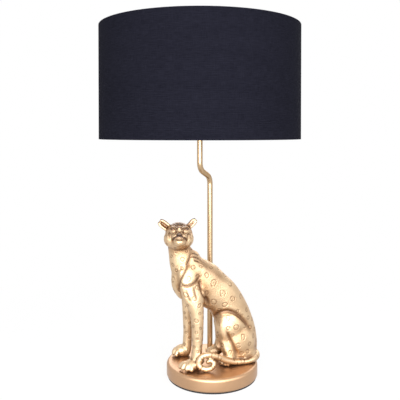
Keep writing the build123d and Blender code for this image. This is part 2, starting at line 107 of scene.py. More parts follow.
camera_data = bpy.data.cameras.new("camera")
camera_data.lens = LENS
camera_data.sensor_width = SENSOR
camera_data.shift_y = VIEW_SHIFT
camera_data.clip_start = NEAREST
camera = add_object("camera", camera_data)
camera.location = EYE
camera.rotation_euler = (radians(90 - PITCH), 0, 0)
scene.camera = camera
scene.view_settings.view_transform = "Standard"
print("camera", round(-EYE.y, 3), "m in front of the lamp's axis, lens", LENS, "mm")

# %% [markdown]
# ## Writing shader maths
# A formula made of nodes is hard to read when each node and link takes a line. This small class wraps a
# number socket, so that it can be written as Python: `1 - mask` adds one Math node.

# %% A number that maths can be written with


class Wire:
    """A number socket that maths can be written with."""

    def __init__(self, graph, socket):
        self.graph, self.socket = graph, socket

    def math(self, operation, other, flip=False):
        """Adds a Math node that works on this number and another."""
        first, second = (other, self) if flip else (self, other)
        return self.graph.node("ShaderNodeMath", {"operation": operation}, {0: first, 1: second})[0]

    def __add__(self, other):
        return self.math("ADD", other)

    def __sub__(self, other):
        return self.math("SUBTRACT", other)

    def __rsub__(self, other):
        return self.math("SUBTRACT", other, flip=True)

    def __mul__(self, other):
        return self.math("MULTIPLY", other)

    __radd__, __rmul__ = __add__, __mul__

    def clamp(self):
        """Adds a Clamp node that keeps this number between 0 and 1."""
        return self.graph.node("ShaderNodeClamp", {}, {0: self})[0]


print("maths on wires: add, subtract, multiply and clamp")

# %% [markdown]
# ## Making nodes
# Every other node comes from one method, `node`. It sets the node's own settings first, because some of
# them change its sockets, and then gives the sockets their values or links.

# %% Nodes


def fill_ramp(ramp, stops):
    """Sets a colour ramp's stops from (position, colour) pairs."""
    while len(ramp.elements) > 1:
        ramp.elements.remove(ramp.elements[-1])
    for index, (position, colour) in enumerate(stops):
        element = ramp.elements[0] if index == 0 else ramp.elements.new(position)
        element.position = position
        element.color = (*colour, 1.0)


class Graph:
    """The nodes of a material or a world, made one by one."""

    def __init__(self, owner):
        owner.use_nodes = True
        self.owner, self.tree = owner, owner.node_tree
        self.tree.nodes.clear()

    def node(self, kind, settings, values):
        """Makes a node and returns its outputs, each wrapped in a Wire."""
        made = self.tree.nodes.new(kind)
        for name, value in settings.items():
            if name == "stops":
                fill_ramp(made.color_ramp, value)
            else:
                setattr(made, name, value)
        for key, value in values.items():
            socket = made.inputs[key]
            if isinstance(value, Wire):
                self.tree.links.new(value.socket, socket)
            else:
                socket.default_value = value
        return [Wire(self, out) for out in made.outputs]

    def seen(self):
        """1 for camera, glossy and transmitted rays, which show a thing, and 0 for those that light it."""
        rays = self.node("ShaderNodeLightPath", {}, {})
        return (rays[0] + rays[3] + rays[6]).clamp()


print("a graph has", ", ".join(name for name in vars(Graph) if name[0] != "_"))

# %% [markdown]
# ## What a finish is made of
# The finishes need the same few nodes again and again: a place, a cloudy noise, a mix of two colours, a
# bump and the Principled shader. They could be written out each time, but short methods let a material be
# read like a recipe.

# %% Finishes


class Finish(Graph):
    """A new material, with short methods for the nodes that are used most."""

    def __init__(self, name):
        super().__init__(bpy.data.materials.new(name))

    def place(self):
        """The point on the piece, in metres."""
        return self.node("ShaderNodeTexCoord", {}, {})[3]

    def attribute(self, name):
        """The value stored on the mesh's points under this name."""
        return self.node("ShaderNodeAttribute", {"attribute_name": name}, {})[2]

    def noise(self, where, scale, detail=3.0, roughness=0.5, stretch=None):
        """A cloudy pattern from 0 to 1; a small stretch draws it out along that axis."""
        if stretch is not None:
            where = self.node("ShaderNodeMapping", {}, {"Vector": where, "Scale": stretch})[0]
        return self.node("ShaderNodeTexNoise", {}, {
            "Vector": where, "Scale": scale, "Detail": detail, "Roughness": roughness})[0]

    def mix(self, factor, first, second):
        """A colour between two others, each given as a Wire or as (red, green, blue)."""
        first, second = ((*one, 1) if isinstance(one, tuple) else one for one in (first, second))
        return self.node("ShaderNodeMix", {"data_type": "RGBA"}, {0: factor, 6: first, 7: second})[2]

    def bump(self, height, strength, distance):
        """A normal that leans with the height."""
        return self.node("ShaderNodeBump", {}, {
            "Strength": strength, "Distance": distance, "Height": height})[0]

    def surface(self, **values):
        """Ends the material in a Principled shader with these values."""
        named = {key.replace("_", " ").title().replace("Ior", "IOR"): value
                 for key, value in values.items()}
        shader = self.node("ShaderNodeBsdfPrincipled", {}, named)[0]
        self.node("ShaderNodeOutputMaterial", {}, {0: shader})
        return self.owner


print("a finish has", ", ".join(name for name in vars(Finish) if name[0] != "_"))

# %% [markdown]
# ## Gold on the figure
# The figure is a casting covered in champagne gold leaf, brown where it is cut in. Where it stands proud its
# colour carries a painted highlight, and it also carries painted shade in occluded places and a painted dark
# reflection on the top of the head and the ear rims. A mask could be baked from the mesh, but the sculpting
# cells already know what they cut and paint. They store the dark marks with the painted shade, and the painted
# highlight, on each point for the material to read.

# %% Figure gold
# The pale gold is a painted highlight on places that stand proud; the two darkest golds colour the cut marks
# and also paint shade and a dark reflection.
GOLD = (0.41, 0.235, 0.107)
HIGHLIGHT_GOLD = (0.67, 0.49, 0.298)
MARK_AND_SHADING_GOLD = (0.19, 0.088, 0.03)
DARK_LINE_AND_SHADING = (0.045, 0.02, 0.009)
LACQUER = {"coat_weight": 1.0, "coat_roughness": 0.35}


def figure_gold():
    """Gold leaf, dark in the sculpted cuts, with a painted highlight, painted shade and a painted dark
    reflection.
    """
    f = Finish("figure_gold")
    place = f.place()
    dark_marks_and_shading, painted_highlight = f.attribute("dark_marks_and_shading"), f.attribute("painted_highlight")
    cloud = f.noise(place, scale=38.0, detail=4.0, roughness=0.55)
    flecks = f.noise(place, scale=420.0, roughness=0.6)
    hair = f.noise(place, scale=900.0, detail=2.0, stretch=(1.0, 1.0, 0.35))
    # Painted highlight: pale gold where the figure stands proud, with a random cloud.
    highlighted_gold = f.mix((painted_highlight * 0.9 + (cloud - 0.5)).clamp(), GOLD, HIGHLIGHT_GOLD)
    # Darkened in the cut marks, and by painted shade and a painted dark reflection where the masks say so.
    marked_and_shaded_gold = f.mix((dark_marks_and_shading * 1.3 + (flecks - 0.55) * 0.5).clamp(), highlighted_gold, MARK_AND_SHADING_GOLD)
    return f.surface(
        base_color=f.mix((dark_marks_and_shading - 1.0).clamp(), marked_and_shaded_gold, DARK_LINE_AND_SHADING), metallic=1.0,
        roughness=0.4 + cloud * 0.12 + dark_marks_and_shading * 0.1,
        normal=f.bump(hair * 0.5 + flecks, strength=0.26, distance=0.7 * MM),
        specular_tint=(0.72, 0.52, 0.36, 1), **LACQUER,
    )


print("gold from", DARK_LINE_AND_SHADING, "in a cut line to", HIGHLIGHT_GOLD, "on a high place")

# %% [markdown]
# ## Gold on the plinth and the stem
# The plinth has the figure's lacquered gold, but smooth and even. The stem is a drawn tube, plated and
# shinier, with fine streaks along it. One gold for all would be simpler, but these differences tell a
# casting from a tube.

# %% Plinth and stem gold
PLINTH_ROUGHNESS, STEM_ROUGHNESS = 0.37, 0.27


def plinth_gold():
    """Even satin gold."""
    f = Finish("plinth_gold")
    place = f.place()
    cloud = f.noise(place, scale=22.0)
    fine = f.noise(place, scale=700.0, detail=2.0)
    return f.surface(
        base_color=f.mix(cloud, (0.44, 0.25, 0.125), (0.56, 0.335, 0.18)), metallic=1.0,
        roughness=PLINTH_ROUGHNESS + fine * 0.08,
        normal=f.bump(cloud * 0.6 + fine * 0.1, strength=0.12, distance=0.6 * MM),
        specular_tint=(0.62, 0.48, 0.38, 1), **LACQUER,
    )


def stem_gold():
    """Plated tube with streaks along it."""
    f = Finish("stem_gold")
    streak = f.noise(f.place(), scale=300.0, stretch=(1.0, 1.0, 0.04))
    return f.surface(
        base_color=f.mix(streak, (0.48, 0.325, 0.18), (0.60, 0.43, 0.26)), metallic=1.0,
        roughness=STEM_ROUGHNESS + streak * 0.06, specular_tint=(0.35, 0.24, 0.15, 1),
        coat_weight=0.3, coat_roughness=0.2,
    )


print("roughness from", PLINTH_ROUGHNESS, "on the plinth and from", STEM_ROUGHNESS, "on the stem")

# %% [markdown]
# ## Cloth
# The shade's cloth is a blue-black slub: threads of uneven thickness run round the drum. On the object's
# coordinates the pattern would be cut off flat at the sides, so it follows the cloth's own UV map in
# metres, and the threads keep their size. The hems are the same cloth, turned in.

# %% Cloth finishes
THREADS_PER_METRE = 380.0
WAVES_PER_UNIT = 20 / tau


def shade_cloth():
    """Slubbed blue-black cloth on its own flat map."""
    f = Finish("shade_cloth")
    along = f.node("ShaderNodeUVMap", {"uv_map": "cloth"}, {})[0]
    slub = f.noise(along, scale=1.0, detail=4.0, roughness=0.62, stretch=(75.0, 640.0, 1.0))
    warp = f.noise(along, scale=1.0, roughness=0.6, stretch=(820.0, 70.0, 1.0))
    drift = f.noise(along, scale=1.0, detail=2.0, stretch=(8.0, 45.0, 1.0))
    weave = f.node("ShaderNodeTexWave", {"wave_type": "BANDS", "bands_direction": "Y"}, {
        "Vector": along, "Scale": THREADS_PER_METRE / WAVES_PER_UNIT, "Distortion": 1.5, "Detail": 1.0})[1]
    level = (slub * 0.85 + warp * 0.5 + drift * 0.2 - 0.46).clamp()
    stops = [(0.0, (0.0032, 0.0033, 0.006)), (0.5, (0.009, 0.0091, 0.0147)), (1.0, (0.033, 0.033, 0.045))]
    return f.surface(
        base_color=f.node("ShaderNodeValToRGB", {"stops": stops}, {0: level})[0],
        roughness=0.92, specular_ior_level=0.03,
        normal=f.bump(slub * 1.2 + warp * 0.5 + weave * 0.25, strength=0.5, distance=0.6 * MM),
    )


def hem_cloth():
    """The same cloth on a narrow turned edge, which has no map of its own."""
    f = Finish("hem_cloth")
    slub = f.noise(f.place(), scale=1.0, detail=4.0, roughness=0.6, stretch=(260.0, 260.0, 640.0))
    return f.surface(
        base_color=f.mix(slub, (0.005, 0.005, 0.009), (0.026, 0.0255, 0.042)),
        roughness=0.92, specular_ior_level=0.12, normal=f.bump(slub, strength=0.5, distance=0.6 * MM))


print("a thread every", round(1000 / THREADS_PER_METRE, 1), "mm")

# %% [markdown]
# ## The small parts
# Steel, plastic, porcelain, brass, white wire, a pale lining and a clear bulb have nothing drawn on them. A
# flat colour would do, but no real surface is perfectly even, so one helper gives each a little grain in
# its colour, gloss and relief.

# %% All finishes
GLOSS_SPREAD = 0.12


def plain(name, colour, roughness, metallic=0.0, grain=300.0, relief=0.04, **more):
    """A simple finish with a little grain."""
    f = Finish(name)
    speck = f.noise(f.place(), scale=grain)
    darker = tuple(channel * 0.86 for channel in colour)
    return f.surface(
        base_color=f.mix(speck, darker, colour), metallic=metallic,
        roughness=speck * GLOSS_SPREAD + (roughness - GLOSS_SPREAD / 2),
        normal=f.bump(speck, strength=relief, distance=0.4 * MM), **more)


PLAIN = {  # colour, roughness and what differs from the helper's own values
    "plain_steel": ((0.56, 0.56, 0.57), 0.32, {"metallic": 1.0}),
    "pad_felt": ((0.018, 0.018, 0.02), 0.95, {"grain": 1400.0, "relief": 0.5}),
    "black_plastic": ((0.022, 0.022, 0.023), 0.42, {"grain": 900.0, "relief": 0.1}),
    "porcelain": ((0.82, 0.8, 0.75), 0.18, {"grain": 60.0, "coat_weight": 0.5}),
    "holder_brass": ((0.78, 0.57, 0.26), 0.28, {"metallic": 1.0}),
    "frame_wire": ((0.8, 0.8, 0.78), 0.4, {"grain": 500.0}),
    "lining_sheet": ((0.78, 0.76, 0.71), 0.55, {"grain": 900.0, "relief": 0.15}),
    "bulb_nickel": ((0.72, 0.7, 0.66), 0.25, {"metallic": 1.0}),
    "bulb_black": ((0.015, 0.015, 0.016), 0.15, {}),
    "filament_yellow": ((0.85, 0.6, 0.14), 0.6, {"grain": 700.0}),
    "bulb_clear": ((1.0, 1.0, 1.0), 0.07, {
        "grain": 8.0, "relief": 0.0, "transmission_weight": 1.0, "ior": 1.45}),
}
finishes = {make.__name__: make() for make in (figure_gold, plinth_gold, stem_gold, shade_cloth, hem_cloth)}
for name, (colour, roughness, more) in PLAIN.items():
    finishes[name] = plain(name, colour, roughness, **more)
slot_of = {part["node"]: part["material_slot"] for part in frame["record"]["subparts"]}
for name, node in nodes.items():
    node.data.materials.clear()
    node.data.materials.append(finishes["hem_cloth" if name.endswith("_hem") else slot_of[name]])
print(len(finishes), "finishes on", len(nodes), "CAD nodes")

# %% [markdown]
# ## Making pieces
# A new piece could be joined to the CAD node that it stands for, but those meshes stay as they are. So each
# is an object of its own that is told three things: the body it rides on, its finish, and the node it
# replaces.

# %% Piece helper


def finish_piece(name, bm, body, stands_for, smooth_angle=None):
    """Turns a bmesh into a named piece that rides on a body in place of a CAD node."""
    mesh = bpy.data.meshes.new(name)
    bm.to_mesh(mesh)
    bm.free()
    mesh.shade_smooth()
    if smooth_angle is not None:
        mesh.set_sharp_from_angle(angle=radians(smooth_angle))
    mesh.materials.append(finishes[slot_of[stands_for]])
    piece = add_object(name, mesh)
    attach(piece, body)
    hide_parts(stands_for)
    print(name, len(mesh.vertices), "points", len(mesh.polygons), "faces")
    return piece


# %% [markdown]
# ## The plinth
# A hollow disc of satin gold with a large soft roll at the top edge and a smaller one at the foot. A
# cylinder could be bevelled twice. Spinning its outline gives both rolls as true quarter rounds, and keeps
# the plinth hollow for the nuts and screws inside.

# %% Plinth
TOP_ROLL = 5.5
FOOT_ROLL = 3.5
PLINTH_WALL = 5.0
SPIN_STEPS = 128


def arc(centre, radius, start, end, steps):
    """Points along an arc, as (radius, height) pairs; angles in degrees."""
    turns = [radians(start + (end - start) * i / steps) for i in range(steps + 1)]
    return [(centre[0] + radius * cos(t), centre[1] + radius * sin(t)) for t in turns]


def spun(profile, centre, steps):
    """Spins (radius, height) points once round an upright axis."""
    bm = bmesh.new()
    verts = [bm.verts.new((centre.x + r, centre.y, z)) for r, z in profile]
    edges = [bm.edges.new(pair) for pair in zip(verts, verts[1:])]
    bmesh.ops.spin(bm, geom=verts + edges, cent=centre, axis=(0, 0, 1), dvec=(0, 0, 0),
                   angle=tau, steps=steps, use_merge=True, use_duplicate=False)
    bmesh.ops.remove_doubles(bm, verts=bm.verts, dist=1e-6)
    bmesh.ops.recalc_face_normals(bm, faces=bm.faces)
    return bm


roll, foot, wall = TOP_ROLL * MM, FOOT_ROLL * MM, PLINTH_WALL * MM
low, high = plinth_low.z, plinth_high.z
outline = [(r, high) for r in (0.0, 0.02, 0.04, 0.06)]
outline += arc((plinth_radius - roll, high - roll), roll, 90, 0, 12)
outline += arc((plinth_radius - foot, low + foot), foot, 0, -90, 8)
outline += [(plinth_radius - wall, low), (plinth_radius - wall, high - wall), (0.0, high - wall)]
finish_piece("plinth_shell", spun(outline, plinth_centre, SPIN_STEPS), "base", "plinth", smooth_angle=40)

# %% [markdown]
# ## The stem
# One bent tube rises behind the figure, crosses over in a jog and ends in the lampholder. A bevelled curve
# would give a tube too, but has to be made a mesh afterwards. Here a ring of edges is drawn out along each
# straight run and spun round each bend, as a tube is bent in a workshop.

# %% Stem
JOG_LOW = 345.4
JOG_HIGH = 362.6
SET_BACK = 40.0
BEND = 18.0
BEND_STEPS = 14
TUBE_SIDES = 40


def only(kind, parts):
    """The edges, or the points, among the parts that an operator made."""
    return [part for part in parts if isinstance(part, kind)]


def drawn_out(bm, ring, move):
    """Draws a ring of edges out along a straight run and gives back the ring at its end."""
    made = bmesh.ops.extrude_edge_only(bm, edges=ring)["geom"]
    points = only(bmesh.types.BMVert, made)
    bmesh.ops.translate(bm, verts=points, vec=move)
    return [edge for edge in only(bmesh.types.BMEdge, made) if all(vert in points for vert in edge.verts)]


def bent(bm, ring, heart, axis, angle):
    """Spins a ring of edges round a bend and gives back the ring at its end."""
    spin = bmesh.ops.spin(bm, geom=ring, cent=heart, axis=axis, dvec=(0, 0, 0), angle=angle,
                          steps=BEND_STEPS, use_duplicate=False)
    return only(bmesh.types.BMEdge, spin["geom_last"])


stem_low, stem_high = box_of("stem")
tube_radius = (stem_high.y - stem_low.y - SET_BACK * MM) / 2
foot_x, foot_y = stem_high.x - tube_radius, stem_high.y - tube_radius
corners = [Vector((foot_x, foot_y, stem_low.z)), Vector((foot_x, foot_y, JOG_LOW * MM)),
           Vector((0, 0, JOG_HIGH * MM)), Vector((0, 0, stem_high.z))]
stem_bm = bmesh.new()
bmesh.ops.create_circle(stem_bm, cap_ends=True, segments=TUBE_SIDES, radius=tube_radius,
                        matrix=Matrix.Translation(corners[0]))
ring, here = stem_bm.edges[:], corners[0]
for before, corner, after in zip(corners, corners[1:], corners[2:]):
    ahead, onward = (corner - before).normalized(), (after - corner).normalized()
    angle = ahead.angle(onward)
    reach = BEND * MM * tan(angle / 2)
    start = corner - ahead * reach
    heart = start + (onward - ahead * ahead.dot(onward)).normalized() * BEND * MM
    ring = drawn_out(stem_bm, ring, start - here)
    ring = bent(stem_bm, ring, heart, ahead.cross(onward), angle)
    here = corner + onward * reach
ring = drawn_out(stem_bm, ring, corners[-1] - here)
bmesh.ops.edgeloop_fill(stem_bm, edges=ring)
bmesh.ops.recalc_face_normals(stem_bm, faces=stem_bm.faces)
finish_piece("stem_tube", stem_bm, "base", "stem", smooth_angle=45)

# %% [markdown]
# ## Cloth round the drum
# One strip of cloth is laminated on the shade's lining, with a narrow lap at the back. It can't fold, so a
# cloth simulation has nothing to do. A flat grid gets its map in metres, is bent round the drum and is then
# given its thickness.

# %% Drum cloth
LAP = 12.0
LAP_RISE = 0.3
CLOTH_THICK = 0.45
CLOTH_INSET = 0.05
CLOTH_SIDES, CLOTH_ROWS = 240, 8

cloth_low, cloth_high = shade_low.z, shade_high.z
cloth_height = cloth_high - cloth_low
turn = tau * shade_radius
lap_angle = LAP * MM / shade_radius
seam = pi / 2


def on_the_drum(share, height):
    """A place of the flat strip, bent round the drum: the start dips under the end at the seam."""
    swept = share * (tau + lap_angle)
    dip = CLOTH_THICK / 2 * max(0.0, 1 - swept / lap_angle)
    rise = LAP_RISE * min(1.0, 4 * max(0.0, (swept - tau) / lap_angle))
    radius = shade_radius + (rise - dip - CLOTH_INSET) * MM
    return radius * cos(seam + swept), radius * sin(seam + swept), cloth_low + height


cloth_bm = bmesh.new()
uv_layer = cloth_bm.loops.layers.uv.new("cloth")
bmesh.ops.create_grid(cloth_bm, x_segments=CLOTH_SIDES, y_segments=CLOTH_ROWS, size=0.5)
flat_places = {vert: (vert.co.x + 0.5, (vert.co.y + 0.5) * cloth_height) for vert in cloth_bm.verts}
for face in cloth_bm.faces:
    for loop in face.loops:
        share, height = flat_places[loop.vert]
        loop[uv_layer].uv = (seam * shade_radius + share * (turn + LAP * MM), height)
for vert, (share, height) in flat_places.items():
    vert.co = on_the_drum(share, height)
bmesh.ops.recalc_face_normals(cloth_bm, faces=cloth_bm.faces)
bmesh.ops.solidify(cloth_bm, geom=cloth_bm.faces[:], thickness=CLOTH_THICK * MM)
cloth = finish_piece("drum_cloth", cloth_bm, "shade", "shade_fabric", smooth_angle=50)
print("cloth", round(turn + LAP * MM, 3), "by", round(cloth_height, 3), "m")

# %% [markdown]
# ## Lumps and tubes
# A sculptor in clay starts with fat tubes for the trunk and limbs, and round lumps for the skull, thighs
# and shoulders. Brushes could do it too, but code gives the same animal on every run. A tube's section
# changes along its path, which one spin or extrusion can't do, so its rings are placed one by one. Places
# are in millimetres from the middle of the plinth's top: x to the tail, y back, z up.

# %% Lumps and tubes
BODY_TURN = 16
SIDEWAYS = Vector((sin(radians(BODY_TURN)), -cos(radians(BODY_TURN)), 0))
END_SIZE = 0.98


def lump(bm, centre, radii, turn=0.0, tip=0.0):
    """Adds an egg: radii along x, y and z, tipped about its own x, then turned about z."""
    matrix = (Matrix.Translation(centre) @ Matrix.Rotation(radians(turn), 4, "Z")
              @ Matrix.Rotation(radians(tip), 4, "X") @ Matrix.Diagonal((*radii, 1)))
    bmesh.ops.create_icosphere(bm, subdivisions=4, radius=1, matrix=matrix)


def flowing(points, per_span=8):
    """A smooth row of points through the given ones."""
    rows = np.array(points, dtype=float)
    ends = np.vstack([2 * rows[0] - rows[1], rows, 2 * rows[-1] - rows[-2]])
    out = []
    for p0, p1, p2, p3 in zip(ends, ends[1:], ends[2:], ends[3:]):
        for t in np.linspace(0, 1, per_span, endpoint=False):
            out.append(0.5 * (2 * p1 + (p2 - p0) * t + (2 * p0 - 5 * p1 + 4 * p2 - p3) * t ** 2
                              + (3 * p1 - p0 - 3 * p2 + p3) * t ** 3))
    out.append(rows[-1])
    return np.array(out)


def tube(bm, path, sideways=SIDEWAYS, sides=28):
    """Adds a tube along (x, y, z, half depth, half width) points, with round ends."""
    row = flowing(path)
    loops = []
    for i, (x, y, z, depth, width) in enumerate(row):
        ahead = Vector(row[min(i + 1, len(row) - 1)][:3]) - Vector(row[max(i - 1, 0)][:3])
        ahead.normalize()
        across = (sideways - ahead * sideways.dot(ahead)).normalized()
        front = across.cross(ahead)
        loops.append([bm.verts.new(Vector((x, y, z)) + front * depth * cos(a) + across * width * sin(a))
                      for a in np.linspace(0, tau, sides, endpoint=False)])
    for lower, upper in zip(loops, loops[1:]):
        for k in range(sides):
            bm.faces.new((lower[k], lower[k - 1], upper[k - 1], upper[k]))
    bm.faces.new(loops[0])
    bm.faces.new(reversed(loops[-1]))
    for x, y, z, depth, width in (row[0], row[-1]):
        lump(bm, (x, y, z), [min(depth, width) * END_SIZE] * 3)


print("the body stands turned by", BODY_TURN, "degrees")

# %% [markdown]
# ## A skin
# The lumps and tubes pass through each other. Booleans could join them, but would leave a hard seam at
# every joint. A voxel remesh lays one even skin over all of them, and a few smoothings melt the joints.

# %% Skin


def skin(bm, voxel, smoothings, name):
    """Lays one skin over every closed form in a bmesh, and gives it back as a mesh."""
    bmesh.ops.recalc_face_normals(bm, faces=bm.faces)
    mesh = bpy.data.meshes.new(name)
    bm.to_mesh(mesh)
    bm.free()
    form = add_object(name, mesh)
    remesh = form.modifiers.new("skin", "REMESH")
    remesh.mode = "VOXEL"
    remesh.voxel_size = voxel
    soften = form.modifiers.new("soften", "SMOOTH")
    soften.iterations = smoothings
    bpy.context.view_layer.update()
    laid = bpy.data.meshes.new_from_object(form.evaluated_get(bpy.context.evaluated_depsgraph_get()))
    bpy.data.objects.remove(form)
    print(name, len(laid.vertices), "points")
    return laid


# %% [markdown]
# ## The body
# The animal sits with its chest up and its weight on its haunches. The trunk and legs are tubes whose depth
# and width change along the way, and eggs are the muscles over them. This first skin is coarse and is
# smoothed a lot, so that the masses run into each other.

# %% Body masses
BODY_VOXEL = 2.0
BODY_SMOOTHINGS = 14

trunk = [
    (50, 15, 4, 30, 22), (50, 15, 20, 32.3, 24), (47, 14, 47, 32, 26), (35, 11, 79, 33, 26),
    (19, 6, 109.5, 32.3, 25), (0, 1, 126, 35, 25), (-18, -4, 141, 37, 25), (-38, -10, 160, 31.5, 22),
    (-49, -12, 178, 27, 19.5), (-57, -14, 198, 20, 17), (-59.5, -17, 214, 18, 16),
]
near_fore = [
    (-44, -27, 168, 15, 9), (-41, -31, 150, 17, 11), (-36, -35, 127, 17, 12), (-29, -36.5, 107, 14.5, 11.5),
    (-26, -36.5, 88, 11.5, 10.8), (-25.5, -36, 60, 10.2, 10.2), (-26.3, -36.5, 35, 9.4, 9.6),
    (-28, -37.5, 16, 9.6, 10.6), (-30, -38.5, 7, 10, 11),
]
far_fore = [
    (-44, 8, 150, 15, 10), (-43.5, 11, 125, 13, 11), (-43.3, 16, 85, 10, 10), (-43.5, 19, 48, 8.4, 9),
    (-44.5, 20, 20, 8.5, 9.6), (-47, 20, 7, 9.5, 10.5),
]
near_shin = [(15, -5, 61, 10, 9), (18.5, -9, 46, 9.5, 9), (25, -13, 28, 9.5, 9), (31, -16, 12, 10, 10)]
far_shin = [(13, 30, 60, 10, 9), (15, 29, 44, 9.5, 9), (15, 28, 24, 9, 9), (11, 24, 9, 9.5, 9.5)]
MUSCLES = [  # middle, radii and turn
    ((33, -7, 58), (25, 14, 31), BODY_TURN), ((45, -5, 32), (32, 15, 33), BODY_TURN),
    ((53, -4, 14), (26, 14, 16), BODY_TURN), ((38, 32, 56), (25, 13, 30), BODY_TURN),
    ((47, 34, 32), (29, 14, 31), BODY_TURN), ((52, 32, 12), (25, 13, 16), BODY_TURN),
    ((17, -5, 62), (12, 10, 15), BODY_TURN), ((15, 30, 60), (12, 10, 14), BODY_TURN),
    ((-40, -24, 160), (17, 11, 19), BODY_TURN), ((-28, -33, 122), (17, 10, 17), BODY_TURN),
    ((-56, -15, 148), (16, 16, 30), 0), ((-49.5, -13, 131), (15.5, 15, 20), 0),
    ((2, 2, 142), (24, 20, 15), BODY_TURN), ((-16, -3, 158), (20, 18, 14), BODY_TURN),
    ((-36, -6, 180), (16, 14, 17), 0),
]
body_bm = bmesh.new()
for path in (trunk, near_fore, far_fore, near_shin, far_shin):
    tube(body_bm, path)
for centre, radii, turned in MUSCLES:
    lump(body_bm, centre, radii, turn=turned)
masses = skin(body_bm, BODY_VOXEL, BODY_SMOOTHINGS, "masses")

# %% [markdown]
# ## The head
# The head is tipped back, so the chin and cheeks are its biggest shapes from the front and the bridge of
# the nose is short. Each form of a cat's face is one egg. An ear could be cut from a sheet, but rows of
# small beads give the skin a cupped leaf with a thicker rim.

# %% Head and ears
HEAD = Vector((-57.8, -20, 223))
FACE_MIDDLE = -55.6
FORWARD = Vector((0, -1, 0))
EAR_ROWS, EAR_BEADS = 15, 13
EAR_CUP = 3.8
BEAD = 2.1
SKULL = (24.4, 25, 24.4)


def ear(bm, tip, base, spread):
    """Adds a leaf-shaped ear between its base and tip, cupped towards the front."""
    tip, base = Vector(tip), Vector(base)
    along = tip - base
    side = along.cross(FORWARD).normalized()
    for share in np.linspace(0, 1, EAR_ROWS):
        middle = base + along * share
        half = spread * sqrt(max(1 - (share * 0.93) ** 5, 0.05)) * (0.88 + 0.2 * share)
        for shift in np.linspace(-1, 1, EAR_BEADS):
            bead_at = middle + side * (half * shift) + FORWARD * (shift ** 2 * EAR_CUP)
            bmesh.ops.create_icosphere(bm, subdivisions=2, radius=BEAD * (0.9 + 0.35 * shift ** 4),
                                       matrix=Matrix.Translation(bead_at))


head_bm = bmesh.new()
lump(head_bm, HEAD, SKULL)
for side in (-1, 1):
    lump(head_bm, HEAD + Vector((side * 13, -6, -3)), (12.6, 16, 14.5))
    lump(head_bm, HEAD + Vector((2 + side * 9.5, -15, 13)), (8.5, 9, 7.5))
    lump(head_bm, (FACE_MIDDLE + side * 12.6, -39, 239.6), (3.4, 3.6, 3.2))
    lump(head_bm, (FACE_MIDDLE + side * 5.8, -48, 227.8), (7.6, 8.6, 6.2))
lump(head_bm, (FACE_MIDDLE, -40, 225), (13.5, 14, 12))
lump(head_bm, (FACE_MIDDLE, -43, 218.5), (10.6, 10.5, 8.2))
lump(head_bm, (FACE_MIDDLE - 1, -31, 214.5), (15, 13, 9.5))
lump(head_bm, (FACE_MIDDLE, -40, 236.5), (7.4, 12.5, 6.4), tip=-28)
lump(head_bm, (FACE_MIDDLE, -52.8, 232.8), (6.2, 4.4, 4.0), tip=-20)
ear(head_bm, (-90.2, -13, 247.6), (-76.5, -15, 237.5), 5.0)
ear(head_bm, (-29.8, -12, 250.2), (-40.5, -15, 240.0), 3.4)
print("the skull reaches", round(HEAD.z + SKULL[2], 1), "mm above the plinth")

# %% [markdown]
# ## The paws
# Each paw is a flat egg with four toes that fan out from it. A toe rises, bends at its knuckle and comes
# down to its tip, so it is a short tube of three points. Four balls would be quicker, but they read as
# beads.

# %% Paws
PAWS = [  # middle, radii, turn and the tips of the toes
    ((-35, -42, 9), (13, 12, 9.4), 28,
     [(-54.5, -42.5, 6.4), (-50.5, -49, 6.9), (-43.5, -53.5, 6.9), (-35.5, -54.5, 6.2)]),
    ((-53, 19.5, 9.5), (14.5, 11, 10.8), 4,
     [(-64.5, 27, 6.4), (-69, 21.5, 7), (-68.6, 14.6, 7), (-63.5, 9, 6.4)]),
    ((27, -18, 8), (13, 11, 8.6), 16,
     [(14, -22, 5.6), (16.5, -26.5, 6), (21.5, -29, 6), (27, -29.5, 5.6)]),
    ((6, 22, 8.5), (13, 10.5, 9), 8,
     [(-4, 29, 5.8), (-7, 24, 6.2), (-7, 18.5, 6.2), (-3, 14, 5.8)]),
]


def toe(bm, heart, tip):
    """Adds one toe from the middle of its paw to its tip."""
    out = tip - heart
    flat = Vector((out.x, out.y, 0)).normalized()
    root = heart + flat * 3.5 + Vector((0, 0, heart.z * 0.45))
    knuckle = tip - flat * 4 + Vector((0, 0, 4.2))
    end = tip - flat * 0.5 - Vector((0, 0, 0.8))
    path = [(*root, 3.4, 3.4), (*knuckle, 3.9, 3.9), (*end, 4.1, 4.1)]
    tube(bm, path, sideways=Vector((-flat.y, flat.x, 0)), sides=16)


for centre, radii, turned, tips in PAWS:
    lump(head_bm, centre, radii, turn=turned)
for centre, radii, turned, tips in PAWS:
    for tip in tips:
        toe(head_bm, Vector(centre), Vector(tip))
lump(head_bm, (-19.5, -27, 9), (6.5, 5, 5.5), turn=30)
print(len(PAWS), "paws with", sum(len(paw[3]) for paw in PAWS), "toes")

# %% [markdown]
# ## The tail and the skin
# The tail lies round the rump, passes along the side and curls up in front of the paws: one more tube. Then
# everything goes under one fine skin. A subdivided low mesh would be lighter, but only an even skin can
# take the spots and lines that are cut later.

# %% Tail and skin
FIGURE_VOXEL = 1.12
FIGURE_SMOOTHINGS = 3
TAIL_SIDES = 20

